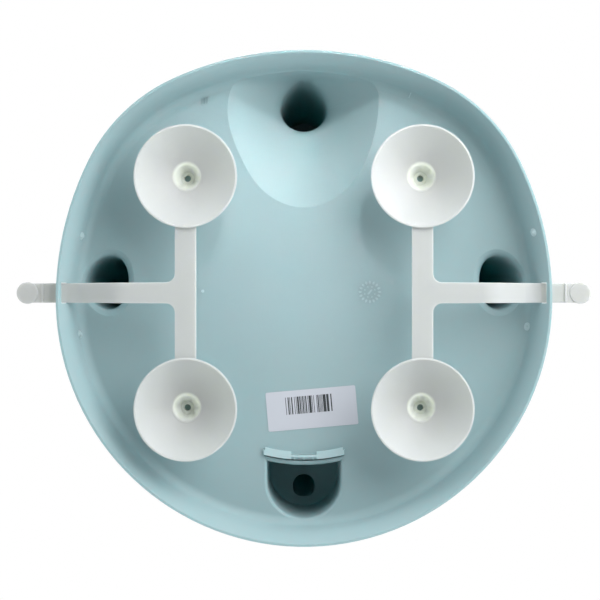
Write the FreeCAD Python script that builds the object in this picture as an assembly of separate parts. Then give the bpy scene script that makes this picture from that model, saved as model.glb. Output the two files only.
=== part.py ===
# A baby bath seat: a seat pan on suction cups, with hollow posts that carry a ring and a backrest.
# The pan and its posts are one moulding, open from below. The two straps are soft mouldings, each
# with two suction cups and a pull tab that comes out through a window in the pan's rim.
# Millimetres. +Z is up, the child faces -Y, and the suction cups stand on Z = 0.
# A radius is measured from the seat's upright axis, which is the Z axis. Angles are in degrees.
import FreeCAD, Part
import math
import os
from FreeCAD import Vector

FIT = 0.3                  # clearance between pieces that seat in each other

# Seat pan. Its outline is a chain of tangent arcs from the front, the same on both sides. Each
# arc ends where the outline faces the angle given, and one arc about the axis closes the rear.
RIM_FRONT = 174.0
FRONT_ARC = 221.0
FRONT_ARC_END_ANGLE = 24.6
CORNER_ARC = 123.0
CORNER_ARC_END_ANGLE = 63.7
SIDE_ARC = 220.0
SIDE_ARC_END_ANGLE = 89.0
WALL = 2.6
RIM_BOTTOM = 10.0
PAN_DEPTH = 28.0
RIM_EDGE = 1.6             # width of the rim's flat lower edge
LIP_INSET = 8.4            # the flared lip ends here, measured in from the rim
LIP_RISE = 7.5
WALL_INSET = 12.4          # the wall above the lip ends here, at the floor
CREASE_RADIUS = 30.0       # between lip and wall, outside
SHOULDER_RADIUS = 7.0      # between wall and floor, inside
FLOOR_BOTTOM = RIM_BOTTOM + PAN_DEPTH
FLOOR_TOP = FLOOR_BOTTOM + WALL

# Ring, in two shells with a locating lip between them
RING_RADIUS = 133.0
RING_HALF_WIDTH = 16.0
RING_RISE = 158.0          # the ring's underside above the pan's
RING_BELOW_SEAM = 11.0
RING_ABOVE_SEAM = 15.0
RING_BOTTOM_ROUND = 8.0
RING_TOP_ROUND = 12.5
RING_WALL = 2.4
RING_LIP_HEIGHT = 3.0
RING_LIP_WALL = 1.1
SOCKET_WALL = 1.8
CHAMFER_SHARE = 0.7        # the chamfers inside the shells, against the roundings outside
RING_BOTTOM = FLOOR_BOTTOM + RING_RISE
RING_SEAM = RING_BOTTOM + RING_BELOW_SEAM
RING_TOP = RING_SEAM + RING_ABOVE_SEAM

# Backrest: a curved panel that stands in a slot in the floor and rolls outwards over the ring
BACK_THICKNESS = 3.2
BACK_GAP = 1.8             # between the panel and the ring
BACK_FOOT_HALF = 28.8
BACK_FULL_HALF = 72.0
BACK_FOOT_RISE = 22.0      # heights above the pan's underside where the panel starts to widen
BACK_FULL_RISE = 112.0     # and where it is widest
BACK_ABOVE_RING = 20.0
BACK_TOP_CORNER = 30.0
BACK_ROLL = 14.0
CLIP_HALF_WIDTH = 24.0
CLIP_THICKNESS = 2.6
CLIP_DROP = 6.0            # how far the clip reaches down past the ring's seam
SLOT_MARGIN = 0.4
SLOT_REAR_MARGIN = 1.0
FOOT_DROP = 2.4            # the foot reaches this far below the floor
HOOK_REACH = 2.2           # its two hooks reach this far forward under the floor
HOOK_INNER = 9.0
HOOK_END_GAP = 1.0
WEB_RIB_PITCH = 6.7
WEB_RIB_WIDTH = 0.9
WEB_THICKNESS = 1.5        # of the foot between the hooks
BACK_RADIUS = RING_RADIUS - RING_HALF_WIDTH - BACK_GAP - BACK_THICKNESS
BACK_REAR = BACK_RADIUS + BACK_THICKNESS
BACK_TOP = RING_TOP + BACK_ABOVE_RING
FOOT_BOTTOM = FLOOR_BOTTOM - FOOT_DROP

# Posts, by the sizes of their hollows. A reach is from the hollow's widest line inwards.
POST_HEAD_HALF = 12.9
POST_HEAD_DEPTH = 8.2      # half its depth
POST_ABOVE_SEAM = 6.0
POST_CAP = 2.6
POST_SHOULDER = 1.0        # the ring rests on this step
SNAP_BEAD = 0.7
SNAP_BEAD_HEIGHT = 1.5
FRONT_OVERLAP = 0.6        # how far the hollow reaches into the pan's wall
FRONT_LEAN = 2.2           # of its outer side, up to the waist
FRONT_HALF = 17.2
FRONT_DEPTH = 19.6         # from the hollow's outer side in to its widest line, at the waist
FRONT_REACH = 17.6
FRONT_EXPONENT = 1.6         # how square its outer end is, 2 is elliptical and less is pointed
FRONT_WAIST_RISE = 38.0
FRONT_BEND = 6.0           # height of the bend between the saddle and the shaft
SADDLE_HALF = 53.5
SADDLE_DEPTH = 10.0
SADDLE_REACH = 87.0
SADDLE_EXPONENT = 4.0
SIDE_SETBACK = 3.8
SIDE_HALF = 19.6
SIDE_DEPTH = 17.0
SIDE_REACH = 14.2
SIDE_MOUTH = 6.0           # rounding of the hollow's lower edge
SIDE_MOUTH_ANGLE = 15.0    # the slope at which it meets the floor
SIDE_MOUTH_OUTER = 2.0     # its width beside the pan's wall
SIDE_POST_ANGLE = 85.3      # from the front
SHAFT_EXPONENT = 2.0

# Pillar behind the backrest: a block with a D for its plan, and a shaft on its roof
PILLAR_HALF = 26.4
PILLAR_GAP = 1.4           # from the panel to the pillar
PILLAR_SIDE = 14.0         # length of the D's straight sides
PILLAR_SETBACK = 4.2
PILLAR_BLOCK_RISE = 72.0
PILLAR_DRAFT = 1.2         # taken off all round over the block's height
PILLAR_EDGE = 1.8          # rounding of the hollow's lower edge
PILLAR_ROOF_ROUND = 5.0
PILLAR_SHAFT_HALF = 8.2
PILLAR_SHAFT_DEPTH = 8.4
PILLAR_SHAFT_RADIUS = 141.0
PILLAR_EXPONENT = 2.8

# Suction straps
CUP_X = 82.5
CUP_Y = 81.2               # from the arm to a cup's centre
STRAP_Y = -3.9
CUP_RADIUS = 36.0
CUP_RIM = 1.2              # width of the rim's flat ring on the tub, and its thickness
CUP_DEPTH = 16.0
CUP_WALL = 3.4             # thickness at the pit
CUP_BULGE_SHARE = 0.55           # height of the cup's curve at two thirds of its radius, against its depth
PIT_RADIUS = 8.4
PIT_EDGE = 2.2             # rounding of the pit's edge
PIT_FLOOR_RADIUS = 4.6
PIT_DEPTH = 11.0
PEG_HOLE_RADIUS = 2.3
PEG_FIT = 0.15
PEG_RECESS = 4.0           # from the pit's floor to the peg's end
NECK_RADIUS = 12.0
STEM_RADIUS = 8.0
STEM_GAP = 4.0             # from the stem's end to the pan
STEM_BEAD = 0.7
STEM_BEAD_RISE = 6.5
STEM_BEAD_HEIGHT = 2.4
BOSS_WALL = 3.1
BOSS_HEIGHT = 15.5
STRIP_RISE = 2.2           # underside of the strip above the tub
STRIP_THICKNESS = 2.2
STRIP_WIDTH = 14.8
STRIP_OVERLAP = 1.6        # how far the strip runs into the cups' rims
STRIP_EDGE = 0.5
ARM_WIDTH = 14.6
ARM_END_WIDTH = 13.7
ARM_CORNER = 6.3
ARM_RISE_RUN = 30.0        # length over which the arm rises
ARM_RISE_TO_RIM = 13.0     # from the end of that rise to the rim
ARM_BEND = 26.0
TAB_CLEARANCE = 0.9        # between the arm and the straight line of the lip below it
TAB_REACH = 28.4           # past the rim
TAB_PAD_RADIUS = 7.6
TAB_PAD_THICKNESS = 3.4
TAB_RIDGE_REACH = 10.4     # past the rim
TAB_RIDGE_WIDTH = 1.6
TAB_RIDGE_HEIGHT = 0.7
WINDOW_BRIDGE = 3.2        # the rim that is left outside the window
WINDOW_DEPTH = 8.5
WINDOW_MARGIN = 0.4        # on each side of the arm
WINDOW_HEAD = 2.4          # above the arm
BOSS_BOTTOM = FLOOR_BOTTOM - BOSS_HEIGHT
STEM_TOP = FLOOR_BOTTOM - STEM_GAP
PIT_TOP = CUP_DEPTH + PIT_DEPTH

# Sticker on the underside of the floor
STICKER_LENGTH = 64.5
STICKER_WIDTH = 28.0
STICKER_THICKNESS = 0.2
STICKER_CORNER = 1.2
STICKER_X = 5.7
STICKER_TO_BACK = 33.3     # from its centre to the backrest's face
STICKER_Y = BACK_RADIUS - STICKER_TO_BACK
STICKER_ANGLE = -5.0

UP = Vector(0, 0, 1)
ORIGIN = Vector(0, 0, 0)
PAST = 1.0                 # how far a cutting shape reaches past the face that it cuts
QUARTER = 90.0
HALF_TURN = 2 * QUARTER


def closed_curve(points):
    curve = Part.BSplineCurve()
    curve.interpolate(Points=points, PeriodicFlag=True)
    return Part.Wire(curve.toShape())


def polygon(points):
    return Part.Face(Part.makePolygon(points + points[:1]))


def box(x_range, y_range, z_range):
    corner = Vector(x_range[0], y_range[0], z_range[0])
    sides = [end - start for start, end in (x_range, y_range, z_range)]
    return Part.makeBox(sides[0], sides[1], sides[2], corner)


def centred(middle, width):
    return middle - width / 2, middle + width / 2


def tube_stage(inner, outer, bottom, top):
    """A hollow cylinder about the seat's axis."""
    base = Vector(0, 0, bottom)
    stage = Part.makeCylinder(outer, top - bottom, base)
    return stage.cut(Part.makeCylinder(inner, top - bottom, base))


def revolved(edges, degrees=2 * HALF_TURN):
    """A solid turned about the seat's axis from a closed chain of edges in the XZ plane."""
    face = Part.Face(Part.Wire([edge.toShape() for edge in edges]))
    return face.revolve(ORIGIN, UP, degrees)


def line(start, end):
    """A straight edge between two (radius, height) points."""
    return Part.LineSegment(Vector(start[0], 0, start[1]), Vector(end[0], 0, end[1]))


def arc(start, middle, end):
    return Part.Arc(*[Vector(r, 0, z) for r, z in (start, middle, end)])


def chain(corners):
    return [line(start, end) for start, end in zip(corners, corners[1:])]


def edges_at(solid, z):
    """The edges that lie in the plane at height z."""
    flat = 0.01
    found = []
    for edge in solid.Edges:
        bounds = edge.BoundBox
        if abs(bounds.ZMin - z) < flat and abs(bounds.ZMax - z) < flat:
            found.append(edge)
    return found


def mirrored(solid):
    return solid.mirror(ORIGIN, Vector(1, 0, 0))


def turned(solid, degrees):
    return solid.rotate(ORIGIN, UP, degrees)


def along(start, end, share):
    return [a + (b - a) * share for a, b in zip(start, end)]


def heading(degrees):
    """The direction outwards, by angle from the front."""
    turn = math.radians(degrees)
    return Vector(math.sin(turn), -math.cos(turn), 0)


def rim_outline(inset, z):
    """The pan's outline, moved inwards by inset."""
    arcs = [
        (FRONT_ARC, FRONT_ARC_END_ANGLE), (CORNER_ARC, CORNER_ARC_END_ANGLE), (SIDE_ARC, SIDE_ARC_END_ANGLE),
    ]
    centre = Vector(0, FRONT_ARC - RIM_FRONT, z)
    start = -FRONT_ARC_END_ANGLE
    right = []
    for i, (radius, end) in enumerate(arcs):
        right.append(Part.makeCircle(radius - inset, centre, UP, start - QUARTER, end - QUARTER))
        start = end
        if i + 1 < len(arcs):
            centre = centre + heading(end) * (radius - arcs[i + 1][0])
    rear_radius = radius + centre.x / heading(end).x
    rear_centre = centre + heading(end) * (radius - rear_radius)
    rear = Part.makeCircle(rear_radius - inset, rear_centre, UP, end - QUARTER, 3 * QUARTER - end)
    left = [mirrored(edge) for edge in right[:0:-1]]
    return Part.Wire(right + [rear] + left)


RIM_BOUNDS = rim_outline(0.0, 0.0).BoundBox
RIM_SIDE = RIM_BOUNDS.XMax
RIM_REAR = RIM_BOUNDS.YMax
LIP_SLOPE = LIP_RISE / (LIP_INSET - RIM_EDGE)
RIM_EDGE_TOP = RIM_BOTTOM + WALL * math.hypot(1.0, LIP_SLOPE) - RIM_EDGE * LIP_SLOPE


def pan_block(sections, crease_radius, shoulder_radius):
    """A solid with the pan's outline through (inset, height) sections, with its lip and top rounded."""
    solid = Part.makeLoft([rim_outline(inset, z) for inset, z in sections], True, True)
    solid = solid.makeFillet(shoulder_radius, edges_at(solid, sections[-1][1]))
    return solid.makeFillet(crease_radius, edges_at(solid, sections[-2][1]))


def pan_inside():
    sections = [
        (RIM_EDGE - PAST / LIP_SLOPE, RIM_BOTTOM - PAST),
        (LIP_INSET, RIM_BOTTOM + LIP_RISE),
        (WALL_INSET, FLOOR_BOTTOM),
    ]
    return pan_block(sections, CREASE_RADIUS + WALL, SHOULDER_RADIUS)


def pan_outside():
    wall_lean = (WALL_INSET - LIP_INSET) / (PAN_DEPTH - LIP_RISE)
    # The outer faces of lip and wall meet where both have the same inset at the same height.
    wall_start = LIP_INSET - WALL * math.hypot(1.0, wall_lean)
    crease_rise = RIM_BOTTOM + LIP_RISE - RIM_EDGE_TOP
    crease_inset = (wall_start - wall_lean * crease_rise) / (1.0 - wall_lean * LIP_SLOPE)
    crease_z = RIM_EDGE_TOP + crease_inset * LIP_SLOPE
    sections = [
        (0.0, RIM_BOTTOM),
        (0.0, RIM_EDGE_TOP),
        (crease_inset, crease_z),
        (crease_inset + (FLOOR_TOP - crease_z) * wall_lean, FLOOR_TOP),
    ]
    return pan_block(sections, CREASE_RADIUS, SHOULDER_RADIUS + WALL)


def power(value, exponent):
    return math.copysign(abs(value) ** exponent, value)


def post_section(section, z, grow, outer_grow):
    """A rounded closed section at the front, bowed to follow the seat's round outline."""
    half, outer, widest, inner, outer_exponent, bow = section
    points = []
    count = 12
    for i in range(count):
        turn = 2 * math.pi * i / count
        exponent = SHAFT_EXPONENT
        reach = widest - inner + grow
        if math.sin(turn) < 0:
            exponent = outer_exponent
            reach = outer - widest + outer_grow
        x = (half + grow) * power(math.cos(turn), 2.0 / exponent)
        y = reach * power(math.sin(turn), 2.0 / exponent) - widest
        points.append(Vector(x, y + x * x / (2 * bow), z))
    return closed_curve(points)


def hollow_section(half, outer, depth, reach, outer_exponent, bow):
    """The values of one section, from its outer side in to its widest line and its inner side."""
    widest = outer - depth
    return half, outer, widest, widest - reach, outer_exponent, bow


POST_TOP = RING_SEAM + POST_ABOVE_SEAM
POST_HEAD_OUTER = RING_RADIUS + POST_HEAD_DEPTH
POST_HEAD = hollow_section(
    POST_HEAD_HALF, POST_HEAD_OUTER, POST_HEAD_DEPTH, POST_HEAD_DEPTH, SHAFT_EXPONENT, POST_HEAD_OUTER,
)

FRONT_WAIST_Z = FLOOR_BOTTOM + FRONT_WAIST_RISE
SADDLE_OUTER = RIM_FRONT - WALL_INSET + FRONT_OVERLAP
FRONT_OUTER = SADDLE_OUTER - FRONT_LEAN
SIDE_OUTER = RIM_SIDE - WALL_INSET - SIDE_SETBACK
PILLAR_OUTER = PILLAR_SHAFT_RADIUS + PILLAR_SHAFT_DEPTH
PILLAR_ROOF = FLOOR_BOTTOM + PILLAR_BLOCK_RISE
SADDLE = hollow_section(
    SADDLE_HALF, SADDLE_OUTER, SADDLE_DEPTH, SADDLE_REACH, SADDLE_EXPONENT, FRONT_ARC - WALL_INSET,
)
FRONT_WAIST = hollow_section(
    FRONT_HALF, FRONT_OUTER, FRONT_DEPTH, FRONT_REACH, FRONT_EXPONENT, FRONT_OUTER,
)
SIDE_FOOT = hollow_section(SIDE_HALF, SIDE_OUTER, SIDE_DEPTH, SIDE_REACH, SHAFT_EXPONENT, SIDE_OUTER)
PILLAR_FOOT = hollow_section(
    PILLAR_SHAFT_HALF, PILLAR_OUTER, PILLAR_SHAFT_DEPTH, PILLAR_SHAFT_DEPTH, PILLAR_EXPONENT, PILLAR_OUTER,
)


def shaft_section(foot, foot_z, z, grow, outer_grow):
    """The section at height z of a straight shaft, from its foot to the head that all posts have."""
    share = (z - foot_z) / (POST_TOP - foot_z)
    return post_section(along(foot, POST_HEAD, share), z, grow, outer_grow)


def shaft(foot, foot_z, grow, bottom, top):
    """The straight tapering part of a post, of the hollow grown by the wall."""
    return Part.makeLoft([shaft_section(foot, foot_z, z, grow, grow) for z in (bottom, top)], True, True)


def saddle(grow):
    """The front post's foot: a straight slope up from the floor, and then a bend into the shaft."""
    reach = SADDLE_HALF - FRONT_HALF
    rise = FRONT_WAIST_RISE
    corner = 1.0 - FRONT_BEND / rise
    lean = math.atan2(reach, corner * rise)
    start = FRONT_BEND / math.hypot(reach, corner * rise)
    steps = [(1.0, 0.0, lean)]
    for share in (0.75, 0.5, 0.25, 0.0):
        out = start + (1.0 - start) * share
        steps.append((out, corner * (1.0 - out), lean))
    middle = (corner * (1.0 - start) + 2 * corner + 1.0) / 4
    steps += [(start / 4, middle, lean / 2), (0.0, 1.0, 0.0)]
    sections = []
    for out, height, turn in steps:
        z = FLOOR_BOTTOM + rise * height + grow * math.sin(turn)
        section = along(FRONT_WAIST, SADDLE, out)
        sections.append(post_section(section, z, grow * math.cos(turn), grow))
    root = sections[0].copy()
    root.translate(Vector(0, 0, -SHOULDER_RADIUS))
    root_part = Part.makeLoft([root, sections[0]], True, True)
    return Part.makeLoft(sections, True, False).fuse(root_part)


SIDE_MOUTH_TOP = FLOOR_BOTTOM + SIDE_MOUTH * math.cos(math.radians(SIDE_MOUTH_ANGLE))


def side_mouth():
    """The rounded lower end of a side post's hollow."""
    sections = []
    steps = 4
    for i in range(steps + 1):
        turn = math.radians(SIDE_MOUTH_ANGLE + (QUARTER - SIDE_MOUTH_ANGLE) * i / steps)
        share = 1.0 - math.sin(turn)
        z = SIDE_MOUTH_TOP - SIDE_MOUTH * math.cos(turn)
        sections.append(shaft_section(
            SIDE_FOOT, FLOOR_BOTTOM, z, SIDE_MOUTH * share, SIDE_MOUTH_OUTER * share,
        ))
    below = sections[0].copy()
    below.translate(Vector(0, 0, -PAST))
    return Part.makeLoft(sections, True, False).fuse(Part.makeLoft([below, sections[0]], True, True))


def front_hollow():
    return saddle(0.0).fuse(shaft(FRONT_WAIST, FRONT_WAIST_Z, 0.0, FRONT_WAIST_Z, POST_TOP - POST_CAP))


def side_hollow():
    tube = shaft(SIDE_FOOT, FLOOR_BOTTOM, 0.0, SIDE_MOUTH_TOP, POST_TOP - POST_CAP)
    return side_mouth().fuse(tube)


def head_outside(foot, foot_z):
    """The top of a post, which passes up into the ring and snaps over its socket."""
    neck = WALL - POST_SHOULDER
    bead_z = RING_SEAM + FIT
    head = shaft(foot, foot_z, neck, RING_BOTTOM, POST_TOP)
    return head.fuse(shaft(foot, foot_z, neck + SNAP_BEAD, bead_z, bead_z + SNAP_BEAD_HEIGHT))


def front_outside():
    tube = shaft(FRONT_WAIST, FRONT_WAIST_Z, WALL, FRONT_WAIST_Z, RING_BOTTOM)
    return saddle(WALL).fuse([tube, head_outside(FRONT_WAIST, FRONT_WAIST_Z)])


def side_outside():
    tube = shaft(SIDE_FOOT, FLOOR_BOTTOM, WALL, FLOOR_BOTTOM, RING_BOTTOM)
    return tube.fuse(head_outside(SIDE_FOOT, FLOOR_BOTTOM))


def pillar_outline(grow, z):
    """The pillar's D, whose front follows the backrest."""
    inner = BACK_REAR + PILLAR_GAP + WALL
    half = PILLAR_HALF + grow
    front = inner - grow
    corner = Vector(half, math.sqrt(front * front - half * half), z)
    side_end = Vector(half, corner.y + PILLAR_SIDE + grow, z)
    rear = Vector(0, RIM_REAR - WALL_INSET - PILLAR_SETBACK + grow, z)
    edges = [
        Part.Arc(mirrored_point(corner), Vector(0, front, z), corner),
        Part.LineSegment(corner, side_end),
        Part.Arc(side_end, rear, mirrored_point(side_end)),
        Part.LineSegment(mirrored_point(side_end), mirrored_point(corner)),
    ]
    return Part.Wire([edge.toShape() for edge in edges])


def mirrored_point(point):
    return Vector(-point.x, point.y, point.z)


def pillar_hollow():
    sections = [
        pillar_outline(PILLAR_EDGE, FLOOR_BOTTOM - PAST), pillar_outline(PILLAR_EDGE, FLOOR_BOTTOM),
        pillar_outline(PILLAR_EDGE / 3, FLOOR_BOTTOM + PILLAR_EDGE / 3),
        pillar_outline(0.0, FLOOR_BOTTOM + PILLAR_EDGE), pillar_outline(-PILLAR_DRAFT, PILLAR_ROOF),
    ]
    tube = shaft(PILLAR_FOOT, PILLAR_ROOF, 0.0, PILLAR_ROOF - PAST, POST_TOP - POST_CAP)
    return Part.makeLoft(sections, True, True).fuse(turned(tube, HALF_TURN))


def pillar_outside():
    top = PILLAR_ROOF + WALL
    block = Part.makeLoft(
        [pillar_outline(WALL, FLOOR_BOTTOM), pillar_outline(WALL - PILLAR_DRAFT, top)], True, True,
    )
    block = block.makeFillet(PILLAR_ROOF_ROUND, edges_at(block, top))
    tube = shaft(PILLAR_FOOT, PILLAR_ROOF, WALL, PILLAR_ROOF, RING_BOTTOM)
    return block.fuse(turned(tube.fuse(head_outside(PILLAR_FOOT, PILLAR_ROOF)), HALF_TURN))


def around_sides(solid):
    """Copies of a side post's solid at both sides."""
    return [turned(solid.copy(), SIDE_POST_ANGLE), turned(solid.copy(), -SIDE_POST_ANGLE)]


def sector(inner, outer, bottom, top, half_width):
    """A curved plate behind the child, about the seat's axis."""
    stage = tube_stage(inner, outer, bottom, top)
    return stage.common(box((-half_width, half_width), (0, outer), (bottom, top)))


def backrest_slot():
    return sector(
        BACK_RADIUS - SLOT_MARGIN, BACK_REAR + SLOT_REAR_MARGIN, FLOOR_BOTTOM - PAST, FLOOR_TOP + PAST,
        BACK_FOOT_HALF + SLOT_MARGIN,
    )


def cup_centres():
    return [Vector(x, STRAP_Y + y, 0) for x in (-CUP_X, CUP_X) for y in (-CUP_Y, CUP_Y)]


def cup_boss():
    """A tube under the floor that grips a cup's stem, with a peg in its middle."""
    bore = STEM_RADIUS + FIT
    groove = bore + STEM_BEAD
    outer = bore + BOSS_WALL
    groove_bottom = BOSS_BOTTOM + STEM_BEAD_RISE - FIT
    groove_top = groove_bottom + STEM_BEAD_HEIGHT + 2 * FIT
    root = FLOOR_BOTTOM + PAST
    tube = chain([
        (bore, BOSS_BOTTOM), (bore, groove_bottom), (groove, groove_bottom), (groove, groove_top),
        (bore, groove_top), (bore, root), (outer, root), (outer, BOSS_BOTTOM), (bore, BOSS_BOTTOM),
    ])
    peg_end = PIT_TOP + PEG_RECESS
    peg = Part.makeCylinder(PEG_HOLE_RADIUS - PEG_FIT, root - peg_end, Vector(0, 0, peg_end))
    return [revolved(tube), peg]


ARM_BOTTOM = RIM_EDGE_TOP + WINDOW_BRIDGE * LIP_SLOPE + TAB_CLEARANCE


def arm_window():
    outer = RIM_SIDE - WINDOW_BRIDGE
    width = ARM_END_WIDTH + 2 * WINDOW_MARGIN
    top = ARM_BOTTOM + STRIP_THICKNESS + WINDOW_HEAD
    return box((outer - WINDOW_DEPTH, outer), centred(STRAP_Y, width), (RIM_BOTTOM - PAST, top))


def base_shell():
    outside = pan_outside().fuse([front_outside(), pillar_outside()] + around_sides(side_outside()))
    inside = pan_inside().fuse([front_hollow(), pillar_hollow()] + around_sides(side_hollow()))
    bosses = [part.translated(centre) for centre in cup_centres() for part in cup_boss()]
    shell = outside.cut(inside).fuse(bosses)
    return shell.cut([arm_window(), mirrored(arm_window())]).cut(backrest_slot())


def ring_block(outset, bottom, top):
    """The ring as a square bar, grown by outset."""
    half = RING_HALF_WIDTH + outset
    return tube_stage(RING_RADIUS - half, RING_RADIUS + half, bottom, top)


def ring_bar(outset, bottom, top, rounding, at):
    """The ring's bar with its edges at one height rounded."""
    bar = ring_block(outset, bottom, top)
    return bar.makeFillet(rounding, edges_at(bar, at))


def ring_hollow(bottom, top, rounding, at):
    """The inside of a shell, with its corners at one height chamfered."""
    block = ring_block(-RING_WALL, bottom, top)
    return block.makeChamfer(CHAMFER_SHARE * (rounding - RING_WALL), edges_at(block, at))


def socket_block(foot, foot_z, grow):
    return shaft(foot, foot_z, WALL - POST_SHOULDER + grow, RING_BOTTOM, RING_SEAM)


def socket_blocks(grow):
    front = socket_block(FRONT_WAIST, FRONT_WAIST_Z, grow)
    rear = turned(socket_block(PILLAR_FOOT, PILLAR_ROOF, grow), HALF_TURN)
    return around_sides(socket_block(SIDE_FOOT, FLOOR_BOTTOM, grow)) + [front, rear]


def ring_lower_shell():
    inner_bottom = RING_BOTTOM + RING_WALL
    shell = ring_bar(0.0, RING_BOTTOM, RING_SEAM, RING_BOTTOM_ROUND, RING_BOTTOM)
    hollow = ring_hollow(inner_bottom, RING_SEAM + PAST, RING_BOTTOM_ROUND, inner_bottom)
    root = RING_SEAM - RING_LIP_HEIGHT
    top = RING_SEAM + RING_LIP_HEIGHT
    lips = []
    for side in (-1, 1):
        wall = RING_RADIUS + side * (RING_HALF_WIDTH - RING_WALL)
        face = wall - side * FIT
        edge = face - side * RING_LIP_WALL
        lips.append(revolved(chain([
            (wall, root), (wall, RING_SEAM), (face, RING_SEAM), (face, top), (edge, top), (edge, root),
            (wall, root),
        ])))
    shell = shell.cut(hollow).fuse(lips + socket_blocks(FIT + SOCKET_WALL))
    return shell.cut(socket_blocks(FIT))


def ring_upper_shell():
    inner_top = RING_TOP - RING_WALL
    shell = ring_bar(0.0, RING_SEAM, RING_TOP, RING_TOP_ROUND, RING_TOP)
    return shell.cut(ring_hollow(RING_SEAM - PAST, inner_top, RING_TOP_ROUND, inner_top))


def back_outline():
    """The backrest's outline seen by the child, as a block that trims the curved panel."""
    waist = (BACK_FOOT_HALF, FLOOR_BOTTOM + BACK_FOOT_RISE)
    full = (BACK_FULL_HALF, FLOOR_BOTTOM + BACK_FULL_RISE)
    corner_z = BACK_TOP - BACK_TOP_CORNER
    corner_x = BACK_FULL_HALF - BACK_TOP_CORNER
    bend = BACK_TOP_CORNER * (1 - math.sqrt(0.5))
    pull = UP * (full[1] - waist[1])
    flare = Part.BSplineCurve()
    flare.interpolate(
        Points=[Vector(waist[0], 0, waist[1]), Vector(full[0], 0, full[1])],
        InitialTangent=pull, FinalTangent=pull,
    )
    edges = chain([(0, FOOT_BOTTOM), (BACK_FOOT_HALF, FOOT_BOTTOM), waist]) + [flare]
    edges += chain([full, (BACK_FULL_HALF, corner_z)])
    edges.append(arc(
        (BACK_FULL_HALF, corner_z), (BACK_FULL_HALF - bend, BACK_TOP - bend), (corner_x, BACK_TOP),
    ))
    edges += chain([(corner_x, BACK_TOP), (0, BACK_TOP), (0, FOOT_BOTTOM)])
    half = Part.Face(Part.Wire([edge.toShape() for edge in edges]))
    half = half.extrude(Vector(0, RING_RADIUS + RING_HALF_WIDTH, 0))
    return half.fuse(mirrored(half)).removeSplitter()


def back_panel_turned():
    """The backrest's upright section, turned half round the seat's axis."""
    roll_z = BACK_TOP - BACK_ROLL
    end_r = BACK_RADIUS + BACK_ROLL
    slant = math.sqrt(0.5)
    bends = []
    for roll in (BACK_ROLL, BACK_ROLL - BACK_THICKNESS):
        middle = (end_r - roll * slant, roll_z + roll * slant)
        bends.append([(end_r - roll, roll_z), middle, (end_r, roll_z + roll)])
    face_bend, rear_bend = bends
    edges = [line((BACK_RADIUS, FOOT_BOTTOM), face_bend[0]), arc(*face_bend)]
    edges += [line(face_bend[2], rear_bend[2]), arc(*rear_bend[::-1])]
    edges += chain([rear_bend[0], (BACK_REAR, FOOT_BOTTOM), (BACK_RADIUS, FOOT_BOTTOM)])
    return revolved(edges, HALF_TURN)


def ring_clip():
    """A hook behind the backrest that lies over the ring."""
    bottom = RING_SEAM - CLIP_DROP
    outset = FIT + CLIP_THICKNESS
    outer = ring_bar(outset, bottom, RING_TOP + outset, RING_TOP_ROUND + outset, RING_TOP + outset)
    inner = ring_bar(FIT, bottom, RING_TOP + FIT, RING_TOP_ROUND + FIT, RING_TOP + FIT)
    reach = RING_RADIUS + RING_HALF_WIDTH + outset
    trim = box((-CLIP_HALF_WIDTH, CLIP_HALF_WIDTH), (0, reach), (bottom, RING_TOP + outset))
    return outer.common(trim).cut(inner)


def backrest_panel():
    panel = back_panel_turned().common(back_outline())
    hook_half = BACK_FOOT_HALF - HOOK_END_GAP
    hooks = sector(BACK_RADIUS - HOOK_REACH, BACK_REAR, FOOT_BOTTOM, FLOOR_BOTTOM, hook_half)
    hooks = hooks.cut(box((-HOOK_INNER, HOOK_INNER), (0, BACK_REAR), (FOOT_BOTTOM, FLOOR_BOTTOM)))
    web = sector(BACK_RADIUS + WEB_THICKNESS, BACK_REAR + PAST, FOOT_BOTTOM - PAST, FLOOR_BOTTOM, HOOK_INNER)
    ribs = []
    for x in (-WEB_RIB_PITCH, 0.0, WEB_RIB_PITCH):
        rib = box(centred(x, WEB_RIB_WIDTH), (0, BACK_REAR), (FOOT_BOTTOM, FLOOR_BOTTOM))
        ribs.append(rib.common(tube_stage(BACK_RADIUS, BACK_REAR, FOOT_BOTTOM, FLOOR_BOTTOM)))
    return panel.cut(web).fuse([hooks, ring_clip()] + ribs)


def suction_cup():
    """One cup with its stem, about the Z axis."""
    bead_r = STEM_RADIUS + STEM_BEAD
    bead_z = BOSS_BOTTOM + STEM_BEAD_RISE
    bead_top = bead_z + STEM_BEAD_HEIGHT
    pit_edge_r = PIT_RADIUS + PIT_EDGE
    bulge_r = CUP_RADIUS * 2 / 3
    bulge_z = CUP_DEPTH * CUP_BULGE_SHARE
    back_z = CUP_DEPTH + CUP_WALL
    edges = [
        arc((CUP_RADIUS - CUP_RIM, 0), (bulge_r, bulge_z), (pit_edge_r, CUP_DEPTH)),
        arc(
            (pit_edge_r, CUP_DEPTH), (PIT_RADIUS + PIT_EDGE / 3, CUP_DEPTH + PIT_EDGE / 4),
            (PIT_RADIUS, CUP_DEPTH + PIT_EDGE),
        ),
    ]
    edges += chain([
        (PIT_RADIUS, CUP_DEPTH + PIT_EDGE), (PIT_FLOOR_RADIUS, PIT_TOP), (PEG_HOLE_RADIUS, PIT_TOP),
        (PEG_HOLE_RADIUS, STEM_TOP), (STEM_RADIUS, STEM_TOP), (STEM_RADIUS, bead_top),
        (bead_r, bead_top - STEM_BEAD), (bead_r, bead_z), (STEM_RADIUS, bead_z),
        (STEM_RADIUS, BOSS_BOTTOM), (NECK_RADIUS, BOSS_BOTTOM), (NECK_RADIUS, back_z),
    ])
    edges.append(arc((NECK_RADIUS, back_z), (bulge_r, bulge_z + CUP_WALL * 3 / 4), (CUP_RADIUS, CUP_RIM)))
    edges += chain([(CUP_RADIUS, CUP_RIM), (CUP_RADIUS, 0), (CUP_RADIUS - CUP_RIM, 0)])
    return revolved(edges)


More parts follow.
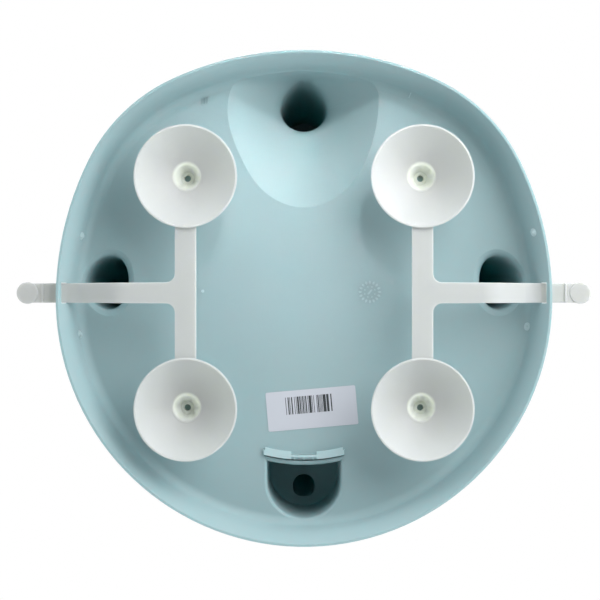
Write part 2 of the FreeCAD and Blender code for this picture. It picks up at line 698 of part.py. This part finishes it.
def arm_side_view(end_x):
    """The arm seen from the side, a band that rises once along its way."""
    high_start = RIM_SIDE - ARM_RISE_TO_RIM
    low_end = high_start - ARM_RISE_RUN
    low = [(CUP_X, STRIP_RISE), (low_end, STRIP_RISE), (high_start, ARM_BOTTOM), (end_x, ARM_BOTTOM)]
    high = [(x, z + STRIP_THICKNESS) for x, z in reversed(low)]
    face = polygon([Vector(x, STRAP_Y - ARM_WIDTH / 2, z) for x, z in low + high])
    band = face.extrude(Vector(0, ARM_WIDTH, 0))
    bends = []
    for edge in band.Edges:
        bounds = edge.BoundBox
        across = bounds.YLength > ARM_WIDTH - FIT
        if across and min(abs(bounds.Center.x - low_end), abs(bounds.Center.x - high_start)) < FIT:
            bends.append(edge)
    return band.makeFillet(ARM_BEND, bends)


def strap_plan():
    """The strip, the arm and the tab seen from below, from half way along the strip."""
    half_strip = STRIP_WIDTH / 2
    inner_x = CUP_X + half_strip
    window_x = RIM_SIDE - WINDOW_BRIDGE
    pad_x = RIM_SIDE + TAB_REACH - TAB_PAD_RADIUS
    reach = CUP_Y - CUP_RADIUS + STRIP_OVERLAP
    half = ARM_WIDTH / 2
    end_half = ARM_END_WIDTH / 2
    diagonal = ARM_CORNER * (1 - math.sqrt(0.5))
    points = [
        Vector(CUP_X - half_strip, reach), Vector(inner_x, reach), Vector(inner_x, half + ARM_CORNER),
        Vector(inner_x + ARM_CORNER, half), Vector(window_x, end_half), Vector(pad_x, end_half),
    ]
    points = [point + Vector(0, STRAP_Y, 0) for point in points]
    middle = Vector(inner_x + diagonal, STRAP_Y + half + diagonal)
    flipped = [Vector(point.x, 2 * STRAP_Y - point.y) for point in points]
    middle_flipped = Vector(middle.x, 2 * STRAP_Y - middle.y)
    edges = [
        Part.LineSegment(points[0], points[1]), Part.LineSegment(points[1], points[2]),
        Part.Arc(points[2], middle, points[3]), Part.LineSegment(points[3], points[4]),
        Part.LineSegment(points[4], points[5]), Part.LineSegment(points[5], flipped[5]),
        Part.LineSegment(flipped[5], flipped[4]), Part.LineSegment(flipped[4], flipped[3]),
        Part.Arc(flipped[3], middle_flipped, flipped[2]), Part.LineSegment(flipped[2], flipped[1]),
        Part.LineSegment(flipped[1], flipped[0]), Part.LineSegment(flipped[0], points[0]),
    ]
    return Part.Face(Part.Wire([edge.toShape() for edge in edges]))


def suction_strap():
    end_x = RIM_SIDE + TAB_REACH
    pad_x = end_x - TAB_PAD_RADIUS
    strip_top = STRIP_RISE + STRIP_THICKNESS
    strip_width = STRIP_WIDTH + 2 * ARM_CORNER
    strip = box(centred(CUP_X, strip_width), centred(STRAP_Y, 2 * CUP_Y), (STRIP_RISE, strip_top))
    plate = strip.fuse(arm_side_view(end_x))
    plate = plate.common(strap_plan().extrude(UP * RING_BOTTOM)).removeSplitter()
    pad_z = ARM_BOTTOM + (STRIP_THICKNESS - TAB_PAD_THICKNESS) / 2
    pad = Part.makeCylinder(TAB_PAD_RADIUS, TAB_PAD_THICKNESS, Vector(pad_x, STRAP_Y, pad_z))
    pad = pad.makeFillet(STRIP_EDGE, edges_at(pad, pad_z) + edges_at(pad, pad_z + TAB_PAD_THICKNESS))
    ridge = box(
        centred(RIM_SIDE + TAB_RIDGE_REACH, TAB_RIDGE_WIDTH), centred(STRAP_Y, ARM_END_WIDTH),
        (ARM_BOTTOM - TAB_RIDGE_HEIGHT, ARM_BOTTOM + STRIP_THICKNESS + TAB_RIDGE_HEIGHT),
    )
    cups = [suction_cup().translated(centre) for centre in cup_centres()[2:]]
    return plate.fuse(cups + [pad, ridge])


def barcode_sticker():
    bottom = FLOOR_BOTTOM - STICKER_THICKNESS
    sheet = box(centred(0, STICKER_LENGTH), centred(0, STICKER_WIDTH), (bottom, FLOOR_BOTTOM))
    upright = [edge for edge in sheet.Edges if edge.BoundBox.ZLength > STICKER_THICKNESS / 2]
    sheet = sheet.makeFillet(STICKER_CORNER, upright)
    return turned(sheet, STICKER_ANGLE).translated(Vector(STICKER_X, STICKER_Y, 0))


def save(name, solid):
    solid.exportStep(os.path.join("parts", name + ".step"))


os.makedirs("parts", exist_ok=True)
strap = suction_strap()
save("base_shell", base_shell())
save("ring_lower_shell", ring_lower_shell())
save("ring_upper_shell", ring_upper_shell())
save("backrest_panel", backrest_panel())
save("right_suction_strap", strap)
save("left_suction_strap", mirrored(strap))
save("barcode_sticker", barcode_sticker())
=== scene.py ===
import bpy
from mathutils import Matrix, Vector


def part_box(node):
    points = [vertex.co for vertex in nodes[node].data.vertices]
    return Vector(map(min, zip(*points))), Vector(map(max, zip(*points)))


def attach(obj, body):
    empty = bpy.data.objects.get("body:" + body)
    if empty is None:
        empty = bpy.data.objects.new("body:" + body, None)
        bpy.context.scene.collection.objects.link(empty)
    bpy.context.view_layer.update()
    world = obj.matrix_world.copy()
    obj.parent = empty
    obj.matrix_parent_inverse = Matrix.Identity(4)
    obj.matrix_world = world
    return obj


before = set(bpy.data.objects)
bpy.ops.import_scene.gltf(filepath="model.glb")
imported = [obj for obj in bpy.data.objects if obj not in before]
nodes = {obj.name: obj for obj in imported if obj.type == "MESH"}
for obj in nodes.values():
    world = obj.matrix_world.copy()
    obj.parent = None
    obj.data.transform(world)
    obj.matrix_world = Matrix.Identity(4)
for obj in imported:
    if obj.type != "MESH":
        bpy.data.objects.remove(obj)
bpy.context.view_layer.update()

import math
import bmesh
import bpy
from mathutils import Matrix, Vector

scene = bpy.context.scene
scene.view_settings.view_transform = "Standard"
MM = 0.001


# Pan with its hollow posts, and the ring's two shells: injection mouldings in polypropylene, pale
# blue-green all through. The mould is finely blasted, so the faces are satin, the flow leaves slow,
# faint changes of tone, and the thin wall lets blue-green light through into the deep hollows.
SHELL_COLOUR = "#9DB8BC"
SHELL_WARMER = "#A4BCBF"
BLAST_GRAIN = 0.9 * MM       # drawn two to three times as coarse as it is, so that it shows
FLOW_LENGTH = 60 * MM
ROUGHNESS_SPAN = 0.10        # how much rougher the flow leaves the roughest spots
RING_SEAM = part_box("ring_upper_shell")[0].z      # height at which the ring's two shells meet
SEAM_COLOUR = "#5F7D82"
SEAM_HALF_WIDTH = 0.4 * MM


def linear(hex_colour):
    """The linear colour of an sRGB hex value, with an alpha of one."""
    channels = [int(hex_colour[i:i + 2], 16) / 255 for i in (1, 3, 5)]
    return [c / 12.92 if c <= 0.04045 else ((c + 0.055) / 1.055) ** 2.4 for c in channels] + [1.0]


def add(tree, kind, settings=None, links=None):
    """Adds a node. Settings name its sockets or its own properties, and links join its sockets."""
    node = tree.nodes.new(kind)
    for name, value in (settings or {}).items():
        if isinstance(name, int) or name in node.inputs:
            node.inputs[name].default_value = value
        else:
            setattr(node, name, value)
    for name, source in (links or {}).items():
        tree.links.new(source, node.inputs[name])
    return node


def new_material(name, values):
    """A material with its node tree and its shader, whose sockets take the given values."""
    material = bpy.data.materials.new(name)
    material.use_nodes = True
    shader = material.node_tree.nodes["Principled BSDF"]
    for socket, value in values.items():
        shader.inputs[socket].default_value = value
    return material, material.node_tree, shader


def polypropylene(name, colour, warmer, translucency=0.24, roughness=0.50, seam=None):
    """Satin moulded polypropylene: even colour with slow flow tone, and the grain of the mould.

    A seam is a height at which two shells meet in a fine dark line.
    """
    material, tree, shader = new_material(name, {
        "IOR": 1.49,
        "Specular IOR Level": 0.35,
        "Subsurface Weight": translucency,
        "Subsurface Radius": (0.2, 1.0, 0.97),
        "Subsurface Scale": 5.0 * MM,
    })
    place = add(tree, "ShaderNodeTexCoord").outputs["Object"]
    flow = add(tree, "ShaderNodeTexNoise", {"Scale": 1 / FLOW_LENGTH, "Detail": 2.0}, {"Vector": place})
    tone = add(
        tree, "ShaderNodeMix", {"data_type": "RGBA", 6: linear(colour), 7: linear(warmer)},
        {0: flow.outputs["Fac"]},
    )
    surface = tone.outputs[2]
    if seam is not None:
        axes = add(tree, "ShaderNodeSeparateXYZ", {}, {"Vector": place})
        above = add(tree, "ShaderNodeMath", {"operation": "SUBTRACT", 1: seam}, {0: axes.outputs["Z"]})
        away = add(tree, "ShaderNodeMath", {"operation": "ABSOLUTE"}, {0: above.outputs[0]})
        clear_of = add(tree, "ShaderNodeMapRange", {"From Max": SEAM_HALF_WIDTH}, {"Value": away.outputs[0]})
        line = add(
            tree, "ShaderNodeMix", {"data_type": "RGBA", 6: linear(SEAM_COLOUR)},
            {0: clear_of.outputs["Result"], 7: surface},
        )
        surface = line.outputs[2]
    tree.links.new(surface, shader.inputs["Base Color"])
    polish = add(
        tree, "ShaderNodeMapRange", {"To Min": roughness, "To Max": roughness + ROUGHNESS_SPAN},
        {"Value": flow.outputs["Fac"]},
    )
    tree.links.new(polish.outputs["Result"], shader.inputs["Roughness"])
    grain = add(tree, "ShaderNodeTexNoise", {"Scale": 1 / BLAST_GRAIN, "Detail": 3.0}, {"Vector": place})
    relief = add(
        tree, "ShaderNodeBump", {"Strength": 0.12, "Distance": 0.1 * MM}, {"Height": grain.outputs["Fac"]},
    )
    tree.links.new(relief.outputs["Normal"], shader.inputs["Normal"])
    return material


def finish(name, material):
    """Gives a node of the frame its material."""
    nodes[name].data.materials.clear()
    nodes[name].data.materials.append(material)


shell_plastic = polypropylene("moulded_polypropylene", SHELL_COLOUR, SHELL_WARMER)
ring_plastic = polypropylene("seamed_polypropylene", SHELL_COLOUR, SHELL_WARMER, seam=RING_SEAM)
finish("base_shell", shell_plastic)
for name in ("ring_lower_shell", "ring_upper_shell"):
    finish(name, ring_plastic)


# Backrest: the same polypropylene, with a paler colour painted on as a highlight, so that its two
# hooks look lit where they stand out of the slot under the floor.
BACKREST_LIT_COLOUR = "#BBD6DA"
BACKREST_LIT_WARMER = "#C0D9DC"

# The backrest's paler colour is painted light, not a colour of its own.
finish("backrest_panel", polypropylene("lit_pale_polypropylene", BACKREST_LIT_COLOUR, BACKREST_LIT_WARMER))


# Marks that the mould leaves on the underside, a millimetre or two proud: rings where pins push the
# pan out, short flow ribs beside the cups, a gate stub, and a plain dial of ticks round a hand. Their
# inserts are polished and not blasted, so the marks are smoother. Their colour is paler than the
# floor's, a painted highlight that stands for the glint they catch.
MARK_GLINT_COLOUR = "#C2D7DA"
MARK_GLINT_WARMER = "#C6DADC"
MARK_ROUGHNESS = 0.30
MARK_HEIGHT = 1.0 * MM
MARK_SLOPE = 0.5 * MM        # width of the slopes that a mark's sides have for release
PIN_RING_RADIUS = 2.9 * MM
PIN_PLACES = [(-158.2, -44.5), (-160.3, 25.6), (161.7, -46.6), (159.6, 20.0)]
FLOW_RIBS = [(-72.3, -141.0), (-70.4, -141.6), (-68.5, -142.2), (75.9, -145.6)]
FLOW_RIB_LENGTH = 5.0 * MM
FLOW_RIB_WIDTH = 0.5 * MM
FLOW_RIB_SLOPE = MARK_HEIGHT / 4
GATE_PLACE = (-72.4, -5.3)
GATE_RADIUS = 1.1 * MM
DIAL_PLACE = (47.2, -4.7)
DIAL_RADIUS = 8.4 * MM
DIAL_TICKS = 16
TICK_MIDDLE = 0.82 * DIAL_RADIUS     # how far out the middle of a tick is
TICK_LENGTH = 0.30 * DIAL_RADIUS
TICK_WIDTH = 1.5 * MM
DOT_MIDDLE = 0.46 * DIAL_RADIUS
DOT_LENGTH = 0.18 * DIAL_RADIUS
DOT_WIDTH = 1.3 * MM
HAND_LENGTH = 0.60 * DIAL_RADIUS
HAND_WIDTH = 1.3 * MM
HAND_ANGLE = 50
DISC_SIDES = 40


def on_shell(x, y):
    """The frame of a spot on the pan's underside, with Z out of the surface, x and y in millimetres."""
    below = Vector((x * MM, y * MM, -1.0))
    point, normal = nodes["base_shell"].ray_cast(below, Vector((0, 0, 1)))[1:3]
    return Matrix.Translation(point) @ normal.to_track_quat("Z", "Y").to_matrix().to_4x4()


def new_mark(name, build):
    """A mark that rides on the seat, with a mesh that the given function builds."""
    mesh = bpy.data.meshes.new(name)
    builder = bmesh.new()
    build(builder)
    builder.to_mesh(mesh)
    builder.free()
    mesh.materials.append(glinting_mark)
    piece = bpy.data.objects.new(name, mesh)
    scene.collection.objects.link(piece)
    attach(piece, "root")


def edges_of(corners):
    """Each edge at the given corners once, in the same order in every run."""
    return list(dict.fromkeys(edge for corner in corners for edge in corner.link_edges))


def soft_block(builder, frame_at, length, width, slope=MARK_SLOPE):
    """A low block with softened edges that stands on its frame's XY plane."""
    size = Matrix.Diagonal((length, width, 2 * MARK_HEIGHT, 1))
    block = bmesh.ops.create_cube(builder, size=1.0, matrix=frame_at @ size)
    bmesh.ops.bevel(builder, geom=edges_of(block["verts"]), offset=slope, segments=2, affect="EDGES")


def soft_disc(builder, frame_at, radius, height):
    """A low disc with a softened edge."""
    disc = bmesh.ops.create_cone(
        builder, cap_ends=True, segments=DISC_SIDES, radius1=radius, radius2=radius, depth=2 * height,
        matrix=frame_at,
    )
    edges = edges_of(disc["verts"])
    rims = [edge for edge in edges if any(len(face.verts) > 4 for face in edge.link_faces)]
    bmesh.ops.bevel(builder, geom=rims, offset=MARK_SLOPE, segments=2, affect="EDGES")


def build_rings(builder):
    for place in PIN_PLACES:
        soft_disc(builder, on_shell(*place), PIN_RING_RADIUS, MARK_HEIGHT)
        soft_disc(builder, on_shell(*place), PIN_RING_RADIUS / 2, 2 * MARK_HEIGHT)


def build_ribs(builder):
    turn = Matrix.Rotation(math.pi / 2, 4, "Z")
    for place in FLOW_RIBS:
        soft_block(builder, on_shell(*place) @ turn, FLOW_RIB_LENGTH, FLOW_RIB_WIDTH, FLOW_RIB_SLOPE)


def build_gate(builder):
    soft_disc(builder, on_shell(*GATE_PLACE), GATE_RADIUS, 2 * MARK_HEIGHT)


def build_dial(builder):
    centre = on_shell(*DIAL_PLACE)
    step = 2 * math.pi / DIAL_TICKS
    for i in range(DIAL_TICKS):
        turned = centre @ Matrix.Rotation(i * step, 4, "Z")
        soft_block(builder, turned @ Matrix.Translation((TICK_MIDDLE, 0, 0)), TICK_LENGTH, TICK_WIDTH)
        if i % 2:
            soft_block(builder, turned @ Matrix.Translation((DOT_MIDDLE, 0, 0)), DOT_LENGTH, DOT_WIDTH)
    hand = centre @ Matrix.Rotation(math.radians(HAND_ANGLE), 4, "Z")
    soft_block(builder, hand, HAND_LENGTH, HAND_WIDTH)


# The marks' paler colour is a painted highlight for the glint of their polished faces.
glinting_mark = polypropylene(
    "painted_glint_polypropylene", MARK_GLINT_COLOUR, MARK_GLINT_WARMER, translucency=0.0, roughness=MARK_ROUGHNESS,
)
new_mark("ejector_rings", build_rings)
new_mark("flow_ribs", build_ribs)
new_mark("gate_stub", build_gate)
new_mark("mould_dial", build_dial)


# Suction straps: each a single moulding in soft white elastomer, with its cups, strip, arm and
# pull tab. It takes light deep into itself, so its edges glow and its skin has a faint waxy sheen. In
# the pits its colour is painted paler and greener, a painted glow that stands for the light the
# elastomer carries into them.
SOFT_COLOUR = "#C3C5C4"
SOFT_GRAIN = 0.5 * MM
SOFT_EDGE = 0.5 * MM
CUPS_MIDDLE = (0, -5.2 * MM, 0)
CUP_OFFSET = (82.5 * MM, 81.2 * MM, 0)
PIT_GLOW_COLOUR = "#EEF4E8"
PIT_RADIUS = 8.4 * MM
PIT_FADE_RADIUS = 1.25 * PIT_RADIUS

soft_white, tree, shader = new_material("moulded_soft_elastomer", {
    "Roughness": 0.5,
    "IOR": 1.45,
    "Subsurface Weight": 0.9,
    "Subsurface Radius": (1.2, 1.2, 1.0),
    "Subsurface Scale": 5.0 * MM,
})
place = add(tree, "ShaderNodeTexCoord").outputs["Object"]
grain = add(tree, "ShaderNodeTexNoise", {"Scale": 1 / SOFT_GRAIN, "Detail": 2.0}, {"Vector": place})
from_middle = add(tree, "ShaderNodeVectorMath", {"operation": "SUBTRACT", 1: CUPS_MIDDLE}, {0: place})
one_corner = add(tree, "ShaderNodeVectorMath", {"operation": "ABSOLUTE"}, {0: from_middle.outputs["Vector"]})
from_cup = add(
    tree, "ShaderNodeVectorMath", {"operation": "SUBTRACT", 1: CUP_OFFSET}, {0: one_corner.outputs["Vector"]},
)
level_part = add(
    tree, "ShaderNodeVectorMath", {"operation": "MULTIPLY", 1: (1, 1, 0)}, {0: from_cup.outputs["Vector"]},
)
reach = add(tree, "ShaderNodeVectorMath", {"operation": "LENGTH"}, {0: level_part.outputs["Vector"]})
# Mask of the pits, where the colour is painted paler and greener as a painted glow.
pit = add(
    tree, "ShaderNodeMapRange",
    {"From Min": PIT_RADIUS, "From Max": PIT_FADE_RADIUS, "To Min": 1.0, "To Max": 0.0},
    {"Value": reach.outputs["Value"]},
)
pit_glow_tint = add(
    tree, "ShaderNodeMix", {"data_type": "RGBA", 6: linear(SOFT_COLOUR), 7: linear(PIT_GLOW_COLOUR)},
    {0: pit.outputs["Result"]},
)
tree.links.new(pit_glow_tint.outputs[2], shader.inputs["Base Color"])
edge = add(tree, "ShaderNodeBevel", {"samples": 4, "Radius": SOFT_EDGE})
relief = add(
    tree, "ShaderNodeBump", {"Strength": 0.05, "Distance": 0.1 * MM},
    {"Height": grain.outputs["Fac"], "Normal": edge.outputs["Normal"]},
)
tree.links.new(relief.outputs["Normal"], shader.inputs["Normal"])

for name in ("left_suction_strap", "right_suction_strap"):
    finish(name, soft_white)


# Sticker: a white polypropylene film with a thermal print, pressed on to the floor's underside.
# It is smoother than the pan, and its bars stand for a code and hold none.
FILM_COLOUR = "#CDD1D9"
PRINT_COLOUR = "#2E3438"
STICKER_LOW, STICKER_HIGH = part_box("barcode_sticker")
STICKER_CENTRE = (STICKER_LOW + STICKER_HIGH) / 2
STICKER_TURN = math.radians(-5)
BARS_CENTRE = (-1.5 * MM, -3.2 * MM)
BARS_SIZE = (34.0 * MM, 12.4 * MM)
BAR_MODULE = 0.42 * MM
BAR_SHARE = 0.52             # of the modules that are dark

sticker_film, tree, shader = new_material("thermal_printed_film", {"Roughness": 0.4, "IOR": 1.49})
place = add(tree, "ShaderNodeTexCoord").outputs["Object"]
flat = add(
    tree, "ShaderNodeMapping",
    {"vector_type": "TEXTURE", "Location": STICKER_CENTRE, "Rotation": (0, 0, STICKER_TURN)},
    {"Vector": place},
)
axes = add(tree, "ShaderNodeSeparateXYZ", {}, {"Vector": flat.outputs["Vector"]})
count = add(tree, "ShaderNodeMath", {"operation": "DIVIDE", 1: BAR_MODULE}, {0: axes.outputs["X"]})
module = add(tree, "ShaderNodeMath", {"operation": "FLOOR"}, {0: count.outputs[0]})
chance = add(tree, "ShaderNodeTexWhiteNoise", {"noise_dimensions": "1D"}, {"W": module.outputs[0]})
dark = add(tree, "ShaderNodeMath", {"operation": "LESS_THAN", 1: BAR_SHARE}, {0: chance.outputs["Value"]})
for axis, middle, length in zip("XY", BARS_CENTRE, BARS_SIZE):
    offset = add(tree, "ShaderNodeMath", {"operation": "SUBTRACT", 1: middle}, {0: axes.outputs[axis]})
    away = add(tree, "ShaderNodeMath", {"operation": "ABSOLUTE"}, {0: offset.outputs[0]})
    inside = add(tree, "ShaderNodeMath", {"operation": "LESS_THAN", 1: length / 2}, {0: away.outputs[0]})
    dark = add(tree, "ShaderNodeMath", {"operation": "MULTIPLY"}, {0: dark.outputs[0], 1: inside.outputs[0]})
printed = add(
    tree, "ShaderNodeMix", {"data_type": "RGBA", 6: linear(FILM_COLOUR), 7: linear(PRINT_COLOUR)},
    {0: dark.outputs[0]},
)
tree.links.new(printed.outputs[2], shader.inputs["Base Color"])
finish("barcode_sticker", sticker_film)


# Floor of the studio: a pale seamless sheet that takes the seat's shadow. It shows from above
# only, so that the seat can be seen and lit from below as well.
FLOOR_COLOUR = "#F2F3F3"
FLOOR_HALF_SIZE = 6.0
FLOOR_DROP = 0.5 * MM
FLOOR_WHITE = 0.3            # share of plain white in what the camera sees of it

floor_mesh = bpy.data.meshes.new("studio_floor")
builder = bmesh.new()
bmesh.ops.create_grid(builder, x_segments=1, y_segments=1, size=FLOOR_HALF_SIZE)
builder.to_mesh(floor_mesh)
builder.free()
studio_floor = bpy.data.objects.new("studio_floor", floor_mesh)
scene.collection.objects.link(studio_floor)
studio_floor.location.z = -FLOOR_DROP

floor_paper = bpy.data.materials.new("studio_paper")
floor_paper.use_nodes = True
tree = floor_paper.node_tree
tree.nodes.clear()
path = add(tree, "ShaderNodeLightPath")
side = add(tree, "ShaderNodeNewGeometry")
front = add(tree, "ShaderNodeMath", {"operation": "SUBTRACT", 0: 1.0}, {1: side.outputs["Backfacing"]})
shown = add(
    tree, "ShaderNodeMath", {"operation": "MULTIPLY"},
    {0: front.outputs[0], 1: path.outputs["Is Camera Ray"]},
)
clear = add(tree, "ShaderNodeBsdfTransparent")
paper = add(tree, "ShaderNodeBsdfDiffuse", {"Color": linear(FLOOR_COLOUR)})
white = add(tree, "ShaderNodeEmission", {"Strength": 1.0})
sheet = add(tree, "ShaderNodeMixShader", {0: FLOOR_WHITE}, {1: paper.outputs[0], 2: white.outputs[0]})
mixed = add(
    tree, "ShaderNodeMixShader", {}, {0: shown.outputs[0], 1: clear.outputs[0], 2: sheet.outputs[0]},
)
add(tree, "ShaderNodeOutputMaterial", {}, {"Surface": mixed.outputs[0]})
floor_mesh.materials.append(floor_paper)


# World: white behind the seat and in its reflections, and a soft pale fill as light. The fill is
# strongest from below the horizon and towards the window, and nearly dark from straight below.
FILL_COLOUR = "#F4F7FA"
FILL_LEVELS = ((0.09, 0.04), (0.26, 1.45), (0.46, 1.35), (0.60, 0.5))    # height from 0 to 1, strength
TO_WINDOW = (0.8, -0.6, 0)
LEVEL_AT_WINDOW = 1.50
LEVEL_AWAY_FROM_WINDOW = 0.75

world = bpy.data.worlds.new("studio")
scene.world = world
world.use_nodes = True
tree = world.node_tree
tree.nodes.clear()
path = add(tree, "ShaderNodeLightPath")
seen = path.outputs["Is Camera Ray"]
for ray in ("Is Transmission Ray", "Is Glossy Ray"):
    either = add(tree, "ShaderNodeMath", {"operation": "MAXIMUM"}, {0: seen, 1: path.outputs[ray]})
    seen = either.outputs[0]
place = add(tree, "ShaderNodeTexCoord").outputs["Generated"]
axes = add(tree, "ShaderNodeSeparateXYZ", {}, {"Vector": place})
height = add(tree, "ShaderNodeMapRange", {"From Min": -1.0}, {"Value": axes.outputs["Z"]})
level = add(tree, "ShaderNodeValToRGB", {}, {"Fac": height.outputs["Result"]})
steps = level.color_ramp.elements
for position, strength in FILL_LEVELS:
    steps.new(position).color = (strength, strength, strength, 1.0)
steps[0].color = steps[1].color
steps[-1].color = steps[-2].color
toward_window = add(tree, "ShaderNodeVectorMath", {"operation": "DOT_PRODUCT", 1: TO_WINDOW}, {0: place})
side = add(
    tree, "ShaderNodeMapRange",
    {"From Min": -1.0, "To Min": LEVEL_AWAY_FROM_WINDOW, "To Max": LEVEL_AT_WINDOW},
    {"Value": toward_window.outputs["Value"]},
)
power = add(
    tree, "ShaderNodeMath", {"operation": "MULTIPLY"}, {0: level.outputs["Color"], 1: side.outputs["Result"]},
)
fill = add(tree, "ShaderNodeBackground", {"Color": linear(FILL_COLOUR)}, {"Strength": power.outputs[0]})
white = add(tree, "ShaderNodeBackground", {"Color": (1, 1, 1, 1), "Strength": 1.0})
mixed = add(tree, "ShaderNodeMixShader", {}, {0: seen, 1: fill.outputs[0], 2: white.outputs[0]})
add(tree, "ShaderNodeOutputWorld", {}, {"Surface": mixed.outputs[0]})


# Lamps: a soft key below the seat's right-hand front, a narrow one that brings out the saddle, a
# faint fill, and a key and a fill above.
def soft_box(name, place, aim, size, power, spread=180):
    """A round lamp, with its places and size in metres, its power in watts, its spread in degrees."""
    lamp = bpy.data.lights.new(name, "AREA")
    lamp.shape = "DISK"
    lamp.size = size
    lamp.energy = power
    lamp.spread = math.radians(spread)
    box = bpy.data.objects.new(name, lamp)
    scene.collection.objects.link(box)
    box.location = place
    box.rotation_euler = (Vector(aim) - Vector(place)).to_track_quat("-Z", "Y").to_euler()
    box.visible_camera = False


soft_box("key_below", place=(0.42, -0.33, -0.42), aim=(0, 0, 0.02), size=0.6, power=3.8)
soft_box("fill_below", place=(-1.1, 0.9, -1.5), aim=(0, 0, 0.02), size=1.4, power=2)
soft_box(
    "accent_below", place=(0.16, -0.62, -0.62), aim=(-0.01, -0.09, 0.05), size=0.12, power=0.032, spread=14,
)
soft_box("key_above", place=(1.1, -1.2, 1.9), aim=(0, 0, 0.1), size=0.9, power=15)
soft_box("fill_above", place=(-1.6, -0.6, 1.4), aim=(0, 0, 0.1), size=1.6, power=5)


# Camera: under the seat, looking straight up, with the seat's front at the top of the picture. Its
# sizes are in millimetres, and its scale holds at the height of the pan's rim.
MM_PER_PIXEL = 0.7
PIXELS = 600
RIM_HEIGHT = 10.0
DISTANCE = 1250.0
PICTURE_MIDDLE = (-2.8, 1.05)
SENSOR_WIDTH = 36

camera_data = bpy.data.cameras.new("camera")
camera = bpy.data.objects.new("camera", camera_data)
scene.collection.objects.link(camera)
scene.camera = camera
camera.location = (PICTURE_MIDDLE[0] * MM, PICTURE_MIDDLE[1] * MM, (RIM_HEIGHT - DISTANCE) * MM)
camera.rotation_euler = (math.pi, 0, 0)
camera_data.sensor_width = SENSOR_WIDTH
camera_data.lens = DISTANCE / MM_PER_PIXEL * SENSOR_WIDTH / PIXELS
camera_data.clip_start = 0.05
camera_data.clip_end = 50
